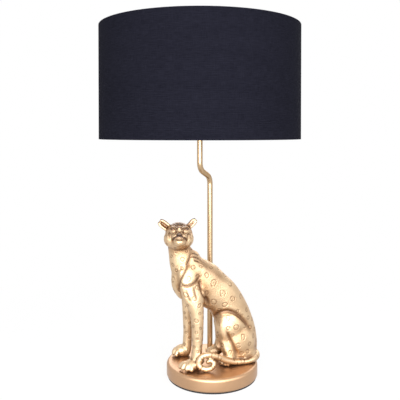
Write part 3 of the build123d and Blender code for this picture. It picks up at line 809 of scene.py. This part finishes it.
tail = [
    (65, 24, 12, 8, 8), (76, 14, 9.5, 6.6, 6.6), (79, 2, 7.5, 5.8, 5.8), (71.5, -12, 6, 5.2, 5.2),
    (55, -19, 5.2, 4.8, 4.8), (38, -25, 6.5, 4.7, 4.7), (22, -33, 13, 4.7, 4.7), (8, -41, 22, 4.8, 4.8),
    (-6, -46.5, 27.5, 4.9, 4.9), (-17.5, -48.5, 25, 5, 5), (-23.5, -49.5, 15.5, 5, 5),
    (-20, -50.5, 7.5, 5, 5), (-10, -51, 4.9, 4.8, 4.8), (-0.5, -50.5, 8, 4.5, 4.5), (2, -49.5, 14.5, 4.2, 4.2),
    (-3, -49, 18.8, 3.8, 3.8), (-8.5, -49.5, 16.5, 3.2, 3.2),
]
tube(head_bm, tail, sideways=Vector((0, 0, 1)), sides=TAIL_SIDES)
head_bm.from_mesh(masses)
figure_mesh = skin(head_bm, FIGURE_VOXEL, FIGURE_SMOOTHINGS, "figure")

# %% [markdown]
# ## The skin as arrays
# The lines and spots move nearly a hundred thousand points. One at a time that is slow in Python, so points
# and normals are held as arrays. One search tree finds where a line drawn in a flat view drops on the
# surface, and the other finds the points near a place.

# %% Skin as arrays
VIEWS = {  # where a view looks from, and the way it looks
    "front": ((0, -200), (0, 1, 0)), "back": ((0, 200), (0, -1, 0)), "chest": ((-200, 0), (1, 0, 0)),
}


def tree_of(places):
    """A search tree over places."""
    tree = KDTree(len(places))
    for index, place in enumerate(places):
        tree.insert(place, index)
    tree.balance()
    return tree


class Surface:
    """A sculpted skin whose points are arrays that can be moved and measured."""

    def __init__(self, mesh):
        self.mesh = mesh
        self.count = len(mesh.vertices)
        self.dark_marks_and_shading = np.zeros(self.count)
        self.places = np.empty(self.count * 3)
        mesh.vertices.foreach_get("co", self.places)
        self.places = self.places.reshape(-1, 3)
        self.settle()

    def settle(self):
        """Writes the points back and measures the surface again."""
        self.mesh.vertices.foreach_set("co", self.places.ravel())
        self.mesh.update()
        self.normals = np.empty(self.count * 3)
        self.mesh.vertex_normals.foreach_get("vector", self.normals)
        self.normals = self.normals.reshape(-1, 3)
        self.push = np.zeros(self.count)
        self.surface = BVHTree.FromPolygons([tuple(place) for place in self.places],
                                            [tuple(face.vertices) for face in self.mesh.polygons])
        self.near = tree_of(self.places)

    def drop(self, view, across, height):
        """Finds where a point drawn in a flat view meets the surface, if it does."""
        (x, y), towards = VIEWS[view]
        start = (across, y, height) if x == 0 else (x, across, height)
        return self.surface.ray_cast(start, towards)[0]

    def onto(self, place):
        """The nearest place on the surface."""
        return self.surface.find_nearest(place)[0]


print("views:", ", ".join(VIEWS))

# %% [markdown]
# ## Clay to cut in
# Now a sculptor cuts lines: the edge of the shoulder, the fold over the thigh, the eyes and mouth. A
# displacement map could carry them, but the points are close enough to be moved. A stroke pushes the points
# near it in or out, most in its middle, and darkens the gold there.

# %% Clay
FADE = 2.4
TAPERED_END = 0.15
TAPER_RATE = 5


class Clay(Surface):
    """A surface with tools that cut, raise and darken it."""

    def cut(self, samples, width, depth, dark=0.0, taper=False):
        """Cuts a groove along samples on the surface; a negative depth raises a ridge."""
        found = {}
        last = max(len(samples) - 1, 1)
        for number, sample in enumerate(samples):
            from_end = min(number, last - number) / last
            share = min(1.0, TAPERED_END + TAPER_RATE * from_end) if taper else 1.0
            for _, index, away in self.near.find_range(sample, width * FADE):
                found[index] = max(found.get(index, 0.0), share * exp(-(away / width) ** 2))
        which = np.array(list(found.keys()), dtype=int)
        shape = np.array(list(found.values()))
        pushed = shape * depth
        old = self.push[which]
        self.push[which] = np.where(np.abs(pushed) > np.abs(old), pushed, old)
        self.dark_marks_and_shading[which] = np.maximum(self.dark_marks_and_shading[which], shape * dark)

    def stroke(self, view, points, width, depth, dark=0.0):
        """Cuts along a smooth line drawn in a flat view; a line of three or more points tapers."""
        line = flowing([(across, height, 0) for across, height in points], per_span=10)
        samples = [self.drop(view, across, height) for across, height, _ in line]
        samples = [spot for spot in samples if spot is not None]
        self.cut(samples, width, depth, dark, taper=len(points) > 2)

    def dab(self, view, across, height, width, depth, dark):
        """Cuts one round spot that is given in a flat view."""
        spot = self.drop(view, across, height)
        if spot is not None:
            self.cut([spot], width, depth, dark)

    def press(self):
        """Moves the points by what the strokes have gathered."""
        print("strokes move", int((np.abs(self.push) > 0.1).sum()), "points by more than 0.1 mm")
        self.places -= self.normals * self.push[:, None]
        self.settle()


clay = Clay(figure_mesh)
print("clay:", clay.count, "points")

# %% [markdown]
# ## Folds and muscles
# The folds from the neck round the shoulder, behind the elbow, over the thigh and behind the shin make the
# big shapes read. The far side could be a mirror, but the animal stands turned on its plinth, so the same
# lines are drawn in the back view and drop where that side is.

# %% Folds
FOLDS = [  # line, width and depth
    ([(-35, 199), (-39.5, 183), (-48, 166), (-55, 153), (-57, 141), (-57, 128)], 3.0, 2.1),
    ([(-55, 145), (-48, 143), (-41, 143.5), (-33, 146), (-26, 150), (-20, 155)], 2.6, 1.8),
    ([(-22, 153), (-20.5, 141), (-16, 127), (-10, 115), (-8, 104)], 2.8, 2.4),
    ([(-31, 142), (-29, 131), (-26, 121)], 3.2, 1.3),
    ([(-45, 137), (-42, 126), (-37, 117)], 3.0, 0.9),
    ([(1, 68), (4, 79), (9, 86), (16, 90), (27, 92), (40, 87.5), (53, 76), (63, 64), (68, 54)], 3.4, 3.0),
    ([(24, 60), (30.5, 44), (38, 30), (45, 15)], 2.8, 2.4),
    ([(46, 12), (58, 9.5), (70, 12)], 2.2, 1.2),
]
SWELLS = [[(-30, 160), (-22, 168), (-12, 166)], [(12, 78), (28, 84), (44, 76), (56, 62)]]
NAPE_HAIRS = [
    [(-37, 200), (-31.5, 197.5), (-27, 193.5)], [(-36.5, 194.5), (-30, 192), (-23.5, 188)],
    [(-36.5, 189.5), (-29.5, 187), (-22.5, 183.5)], [(-30, 182), (-24, 179.5)],
]
BACK_EDGE_PAINTED_SHADE = [(-34, 192), (-22, 181), (-8, 168), (8, 156), (26, 140)]
CHEST_LINE = [(-8, 196), (-11, 170), (-13, 150), (-14, 128)]

for points, width, depth in FOLDS:
    clay.stroke("front", points, width, depth, dark=0.55)
    clay.stroke("back", points, width, depth, dark=0.5)
for points in SWELLS:
    clay.stroke("front", points, 7.0, -1.2)
for points in NAPE_HAIRS:
    clay.stroke("front", points, 1.5, 0.9, dark=1.2)
    clay.stroke("back", points, 1.5, 0.8, dark=1.0)
# A stroke with no depth along the top of the back paints shade on its edge.
for view in ("front", "back"):
    clay.stroke(view, BACK_EDGE_PAINTED_SHADE, 6.5, 0.0, dark=0.5)
clay.stroke("chest", CHEST_LINE, 3.5, 1.0, dark=0.2)
clay.press()

# %% [markdown]
# ## The face
# The mouth, the eyelids, the brow and the side of the nose are cut in the front view. A face is nearly the
# same on both sides, so each line is drawn once and mirrored about the middle of the nose.

# %% Face
MOUTH = [(-55.6, 228.6), (-60.6, 228.6), (-65.2, 225.6), (-68.8, 219.4)]
UPPER_LID = [(-63.6, 238.8), (-66, 241.4), (-69.2, 242.0), (-72.6, 240.2)]
LOWER_LID = [(-63.6, 238.8), (-67, 238.2), (-70, 238.6), (-72.6, 240.2)]
BROW = [(-62, 246.5), (-66.5, 246.2), (-71.5, 244.4)]
NOSE_SIDE = [(-59.8, 231.4), (-61.6, 233.6), (-62.6, 236.6)]
CHEEK = [(-76, 233), (-74, 228), (-73.5, 222)]
JAW = [(-80, 236), (-78.5, 230), (-77.5, 224)]
CHIN = [(-61, 223.2), (-55.6, 221.4), (-50.2, 223.2)]
FACE_LINES = [  # line, width, depth and dark
    (MOUTH, 1.5, 2.1, 1.7), (UPPER_LID, 1.0, 1.1, 1.6), (LOWER_LID, 1.0, 0.9, 1.4), (BROW, 1.2, 0.6, 0.5),
    (NOSE_SIDE, 1.3, 0.8, 0.4), (CHEEK, 1.1, 0.5, 0.5), (JAW, 1.1, 0.5, 0.5),
]


def mirrored(across):
    """The same place on the other half of the face."""
    return 2 * FACE_MIDDLE - across


for points, width, depth, dark in FACE_LINES:
    clay.stroke("front", points, width, depth, dark)
    clay.stroke("front", [(mirrored(x), z) for x, z in points], width, depth, dark)
clay.stroke("front", CHIN, 1.3, 0.7, 0.45)
print(2 * len(FACE_LINES) + 1, "lines in the face")

# %% [markdown]
# ## The marks of the face
# The pupils are raised dark dots, the nose is filled with short dark strokes that paint the dark reflection of
# the lampshade on it, rings sit on the forehead and rows of dots mark the whiskers. They could be painted, but
# rubbed leaf shows a mark only where it is cut, so these are cut too.

# %% Marks of the face
PUPIL = (-68.4, 240.0)
NOSE_LEFT, NOSE_RIGHT, NOSE_STEP = -60.4, -50.2, 0.9
NOSE_FOOT, NOSE_CORNER, NOSE_TOP = 230.6, 231.4, 236.6
FOREHEAD_RINGS = [(-60.4, 242.6, 2.2), (-50.9, 242.6, 2.2), (-55.6, 247.0, 1.6)]
WHISKER_ROWS = [(229.5, 3), (227.6, 4), (225.6, 3)]
FOREHEAD_FLECKS = 26

for across in (PUPIL[0], mirrored(PUPIL[0])):
    clay.dab("front", across, PUPIL[1], 2.2, -0.4, dark=1.8)
# Painted dark reflection of the lampshade: raised strokes fill the nose with the darkest gold.
for across in np.arange(NOSE_LEFT, NOSE_RIGHT, NOSE_STEP):
    top = NOSE_TOP - abs(across - FACE_MIDDLE) * 1.1
    clay.stroke("front", [(across, NOSE_FOOT), (across, max(top, NOSE_CORNER))], 1.0, -0.2, dark=1.8)
for across, height, size in FOREHEAD_RINGS:
    ring = [(across + size * cos(t), height + size * sin(t)) for t in np.linspace(0, tau, 12)]
    clay.stroke("front", ring, 0.9, 0.6, 1.2)
for height, dots in WHISKER_ROWS:
    for k in range(dots):
        for across in (-60.2 - 1.9 * k, mirrored(-60.2 - 1.9 * k)):
            clay.dab("front", across, height - 0.5 * k, 0.8, 0.5, 0.8)
for k in range(FOREHEAD_FLECKS):
    across = FACE_MIDDLE - 15 + 30 * ((k * 0.618) % 1)
    clay.dab("front", across, 244.5 + 3.2 * ((k * 0.414) % 1), 2.6, 0.25, dark=0.8)
clay.press()

# %% [markdown]
# ## Rosettes
# A leopard's coat has broken rings, large on the body and small on the neck, legs and head. The paws, ears,
# muzzle and tail have none. A Voronoi texture could scatter rings, but can't make them follow the animal,
# so each is cut by itself: a wobbly groove with gaps and a raised edge outside it.

# %% Rosettes
rng = np.random.default_rng(11)
tail_row = flowing(tail)
tail_tree = tree_of(tail_row[:, :3])


def spot_size(place):
    """The radius of a rosette here, or none where the coat is plain."""
    x, y, z = place
    on_ear = z > 234 and abs(x - HEAD.x) > 20
    on_muzzle = z > 200 and y < -38
    on_tail = tail_tree.find(place)[2] < 7.5
    on_paw = z < 17
    if on_ear or on_muzzle or on_tail or on_paw:
        return 0.0
    if z > 203:
        return 1.5
    on_foreleg = x < -12 and z < 112
    if on_foreleg:
        return 2.0
    on_neck = z > 165
    if on_neck:
        return 2.4
    on_haunch = 15 < z < 96
    return 2.9 if on_haunch else 4.0


def rosette(place, normal, size):
    """Cuts one broken ring round a place on the surface."""
    side = normal.orthogonal().normalized()
    up = normal.cross(side)
    start = rng.uniform(0, tau)
    gaps = rng.integers(1, 4)
    lengthen = rng.uniform(0.85, 1.2)
    open_side = rng.choice([0.96, 0.85, 0.35])
    inner, outer = [], []
    for t in np.linspace(0, tau, 40, endpoint=False):
        if cos((t - start) * gaps) > open_side:
            continue
        r = size * (1 + 0.12 * sin(2 * t + start) + 0.07 * sin(3 * t))
        step = side * cos(t) * r * lengthen + up * sin(t) * r / lengthen
        inner.append(clay.onto(place + step))
        outer.append(clay.onto(place + step * (1 + 1.8 / size)))
    clay.cut(outer, 1.0, -0.16)
    clay.cut(inner, 0.95, 0.46, dark=0.55)
    if size > 2.8 and rng.random() < 0.5:
        clay.cut([clay.onto(place + side * size * 0.2)], 1.0, 0.4, dark=0.3)


print("rosette radii from", spot_size(HEAD + Vector((0, 30, 0))), "on the head to", spot_size((10, 0, 130)))

# %% [markdown]
# ## Placing the rosettes
# The large rosettes on the near side are listed one by one, because the eye finds them first. The rest are
# tried at random points, and left out when another is too near. A fixed seed makes the coat the same on every
# run.

# %% Placing the rosettes
LARGE_SPOTS = [
    (3, 143, 5.4), (18, 124, 5.2), (3, 109.5, 4.6), (-46, 128, 4.0), (-33, 172, 3.6), (-40, 155, 3.6),
    (-51, 185, 3.2), (19, 107, 4.0), (-9, 157, 3.8), (27, 80, 3.8), (42, 64, 4.2), (54, 46, 4.0),
    (46, 33, 3.4), (29, 40, 3.0), (31, 22, 2.8), (-27, 84, 3.4), (-22, 110, 3.0), (-28, 64, 2.6),
]
TRIES = 9000
taken = []


def try_spot(index, size):
    """Cuts a rosette at this point of the skin unless another is too near."""
    place = Vector(clay.places[index])
    room = size * 3.1 + 3.2
    if any((place - other).length < (room + space) / 2 for other, space in taken):
        return
    taken.append((place, room))
    rosette(place, Vector(clay.normals[index]), size)


for x, z, size in LARGE_SPOTS:
    try_spot(clay.near.find(clay.drop("front", x, z))[1], size)
for index in rng.permutation(clay.count)[:TRIES]:
    size = spot_size(clay.places[index])
    if size and clay.dark_marks_and_shading[index] < 0.3:
        try_spot(index, size)
print("rosettes:", len(taken))

# %% [markdown]
# ## Bands on the tail
# On a leopard's tail the spots run together into bands. A ring of spots could be drawn round it, but one
# arc round the tail's own line, starting at a random side, reads the same at this size.

# %% Tail bands
FIRST_BAND, BANDS_APART, LAST_ROWS = 8, 3, 4
BAND_SWEEP = 2.6

for k in range(FIRST_BAND, len(tail_row) - LAST_ROWS, BANDS_APART):
    middle = Vector(tail_row[k][:3])
    along = (Vector(tail_row[k + 2][:3]) - Vector(tail_row[k - 2][:3])).normalized()
    out = along.orthogonal().normalized()
    start = rng.uniform(0, tau)
    band = [middle + Matrix.Rotation(start + t, 3, along) @ out * tail_row[k][3]
            for t in np.linspace(0, BAND_SWEEP, 16)]
    clay.cut([clay.onto(spot) for spot in band], 1.0, 0.4, dark=0.75, taper=True)
clay.press()

# %% [markdown]
# ## Dark in what is cut in, and a painted dark reflection on the head
# A point is darkened by how deep it is cut in, which is how far it lies under a smoothed copy of the skin. The
# top of the head and the upward faces of the ear rims get a painted dark reflection of the lampshade above,
# and the face is darker as a whole, so each gets a soft mask.

# %% Cut-in places and painted reflection
SMOOTHED = 24
DEEPEST = 1.3

edges = np.empty(len(figure_mesh.edges) * 2, dtype=int)
figure_mesh.edges.foreach_get("vertices", edges)
edges = edges.reshape(-1, 2)
degree = np.bincount(edges.ravel(), minlength=clay.count)[:, None]


def relaxed(values, times):
    """Averages each point's values with its neighbours' a number of times."""
    values = values.copy()
    for _ in range(times):
        total = np.zeros_like(values)
        np.add.at(total, edges[:, 0], values[edges[:, 1]])
        np.add.at(total, edges[:, 1], values[edges[:, 0]])
        values = 0.5 * values + 0.5 * total / degree
    return values


sunk = ((relaxed(clay.places, SMOOTHED) - clay.places) * clay.normals).sum(axis=1)
from_middle = np.abs(clay.places[:, 0] - HEAD.x)
height = clay.places[:, 2]
# Painted dark reflection of the lampshade above, on the top of the head and on the upward faces of the ear
# rims.
crown_painted_reflection = np.clip((height - 241) / 5, 0, 1) * (from_middle < 17)
ear_rim_painted_reflection = np.clip(clay.normals[:, 2] * 2.2 - 0.5, 0, 1) * (height > 236) * (from_middle > 19)
face = np.clip((height - 214) / 10, 0, 1) * (1 - np.clip((from_middle - 16) / 6, 0, 1))
clay.dark_marks_and_shading += 0.7 * crown_painted_reflection + 1.1 * ear_rim_painted_reflection + 0.22 * face
clay.dark_marks_and_shading = np.clip(clay.dark_marks_and_shading + np.clip(sunk / DEEPEST, 0, 1) * 0.85, 0, 2)
print("dark points:", int((clay.dark_marks_and_shading > 1).sum()), "of", clay.count)

# %% [markdown]
# ## Painted highlight where it stands proud, painted shade where it is occluded
# Places that stand over the points near them get a painted highlight, and places between the legs, where most
# ways out are shut, get painted shade. Rays could test every point, but both change slowly, so one point in 24
# is measured and the others take the mean of the nearest few.

# %% Painted highlight and painted shade
EVERY = 24
REACH = 15.0
RAY_REACH = 70
NEAREST_FEW = 5
OCCLUSION_SHADE_FROM = 0.42

few, few_normals = clay.places[::EVERY], clay.normals[::EVERY]
few_tree = tree_of(few)
around = [Vector((cos(a) * cos(b), sin(a) * cos(b), sin(b)))
          for b in (-0.9, -0.3, 0.3, 0.9) for a in np.linspace(0, tau, 8, endpoint=False)]


def stands_over(place, normal):
    """How far a place stands over the middle of the places near it."""
    near = [spot for spot, _, _ in few_tree.find_range(place, REACH)]
    return (place - np.mean(near, axis=0)) @ normal


def shut_share(place, normal):
    """The share of the ways out from a place that meet the figure or the plinth."""
    start = Vector(place) + Vector(normal) * 1.5
    ways = [way for way in around if way.dot(Vector(normal)) > 0.15]
    return np.mean([clay.surface.ray_cast(start, way, RAY_REACH)[0] is not None
                    or (way.z < 0 and start.z + way.z * 40 < 0) for way in ways])


def on_every_point(measure):
    """Measures the few places and spreads the values softly over every point."""
    values = np.array([measure(place, normal) for place, normal in zip(few, few_normals)])
    spread = np.array([np.mean([values[index] for _, index, _ in few_tree.find_n(place, NEAREST_FEW)])
                       for place in clay.places])
    return relaxed(spread[:, None], 16)[:, 0]


# Painted highlight: how far each point stands over the points near it.
painted_highlight = on_every_point(stands_over)
# Painted shade: points whose ways out are mostly shut are darkened.
occlusion_shade = on_every_point(shut_share)
clay.dark_marks_and_shading = np.clip(clay.dark_marks_and_shading + np.clip(occlusion_shade - OCCLUSION_SHADE_FROM, 0, 0.5) * 1.1, 0, 2)
print("sheltered points:", int((occlusion_shade > OCCLUSION_SHADE_FROM).sum()))
print("points stand", *np.percentile(painted_highlight, (5, 50, 95)).round(2), "mm over the skin near them")
painted_highlight = np.clip((painted_highlight + 0.6) / 2.0, 0, 1)

# %% [markdown]
# ## Setting the figure on its plinth
# A casting's soles are filed flat before it is screwed down. Here the lowest points are lifted to the
# plinth's top. The skin is moved in its mesh, because the object itself stays at the origin.

# %% Leopard piece
points = clay.places.copy()
points[:, 2] = np.maximum(points[:, 2], 0.0)
points = points * MM + np.array((plinth_centre.x, plinth_centre.y, plinth_high.z))
figure_mesh.vertices.foreach_set("co", points.ravel())
figure_mesh.attributes.new("dark_marks_and_shading", "FLOAT", "POINT").data.foreach_set("value", clay.dark_marks_and_shading)
figure_mesh.attributes.new("painted_highlight", "FLOAT", "POINT").data.foreach_set("value", painted_highlight)
leopard_bm = bmesh.new()
leopard_bm.from_mesh(figure_mesh)
finish_piece("leopard_sculpt", leopard_bm, "base", "leopard")

# %% [markdown]
# ## Lamps
# Gold shows what stands round it more than what lights it, so the lamps are large and soft: a wide key in
# front, a low one that reaches under the shade, and weaker ones at the side, the top and the back. One
# strong lamp would give hard, small highlights.

# %% Lamps
MIDDLE = (0, 0, 0.25)
PLINTH = (0, 0, 0.1)
LAMPS = [  # name, place, size, power and aim
    ("key", (-0.3, -1.75, 0.9), (2.6, 1.6), 58, MIDDLE),
    ("low", (0.15, -1.45, 0.3), (1.6, 0.55), 13, PLINTH),
    ("fill", (1.45, -1.1, 1.2), (1.3, 1.3), 14, MIDDLE),
    ("top", (0.0, 0.2, 1.9), (1.2, 1.2), 5, MIDDLE),
    ("back", (0.3, 1.7, 1.1), (2.0, 1.2), 15, MIDDLE),
]
for name, place, size, power, aim in LAMPS:
    data = bpy.data.lights.new(name, "AREA")
    data.shape = "RECTANGLE"
    data.size, data.size_y = size
    data.energy = power
    lamp = add_object(name, data)
    lamp.location = place
    lamp.rotation_euler = (Vector(aim) - Vector(place)).to_track_quat("-Z", "Y").to_euler()
print(len(LAMPS), "lamps,", sum(lamp[3] for lamp in LAMPS), "watts together")

# %% [markdown]
# ## World and floor
# The background is plain white, and so is what the gold mirrors. A world that lit the lamp so brightly
# would wash out the shadows, so a Light Path node gives full white only to the rays that see it. The floor
# does the same and keeps the soft shadow under the plinth.

# %% World and floor
WORLD_LIGHT = 0.35
FLOOR_HALF = 3.0
FLOOR_GREY = 0.9
SHADOW_SHARE = 0.12
SHADOW_RADIUS = 0.12
SHADOW_FADE = 1.6
WHITE = (1, 1, 1, 1)

sky = Graph(bpy.data.worlds.new("studio"))
soft = sky.node("ShaderNodeBackground", {}, {"Color": WHITE, "Strength": WORLD_LIGHT})[0]
white = sky.node("ShaderNodeBackground", {}, {"Color": WHITE, "Strength": 1.0})[0]
either = sky.node("ShaderNodeMixShader", {}, {0: sky.seen(), 1: soft, 2: white})[0]
sky.node("ShaderNodeOutputWorld", {}, {0: either})
scene.world = sky.owner

f = Finish("floor")
away = f.node("ShaderNodeVectorMath", {"operation": "LENGTH"}, {0: f.place()})[1]
lit = f.node("ShaderNodeBsdfDiffuse", {}, {"Color": (FLOOR_GREY, FLOOR_GREY, FLOOR_GREY, 1)})[0]
glow = f.node("ShaderNodeEmission", {}, {"Color": WHITE, "Strength": 1.0})[0]
faded = ((away - SHADOW_RADIUS) * SHADOW_FADE).clamp() * SHADOW_SHARE + (1 - SHADOW_SHARE)
shown = f.node("ShaderNodeMixShader", {}, {0: f.seen() * faded, 1: lit, 2: glow})[0]
f.node("ShaderNodeOutputMaterial", {}, {0: shown})

floor_bm = bmesh.new()
bmesh.ops.create_grid(floor_bm, x_segments=1, y_segments=1, size=FLOOR_HALF)
floor_mesh = bpy.data.meshes.new("floor")
floor_bm.to_mesh(floor_mesh)
floor_bm.free()
floor_mesh.materials.append(f.owner)
floor = add_object("floor", floor_mesh)
print("floor", 2 * FLOOR_HALF, "m wide")

# %% [markdown]
# ## Sizes
# The new pieces must stay as big as the CAD pieces that they stand for.
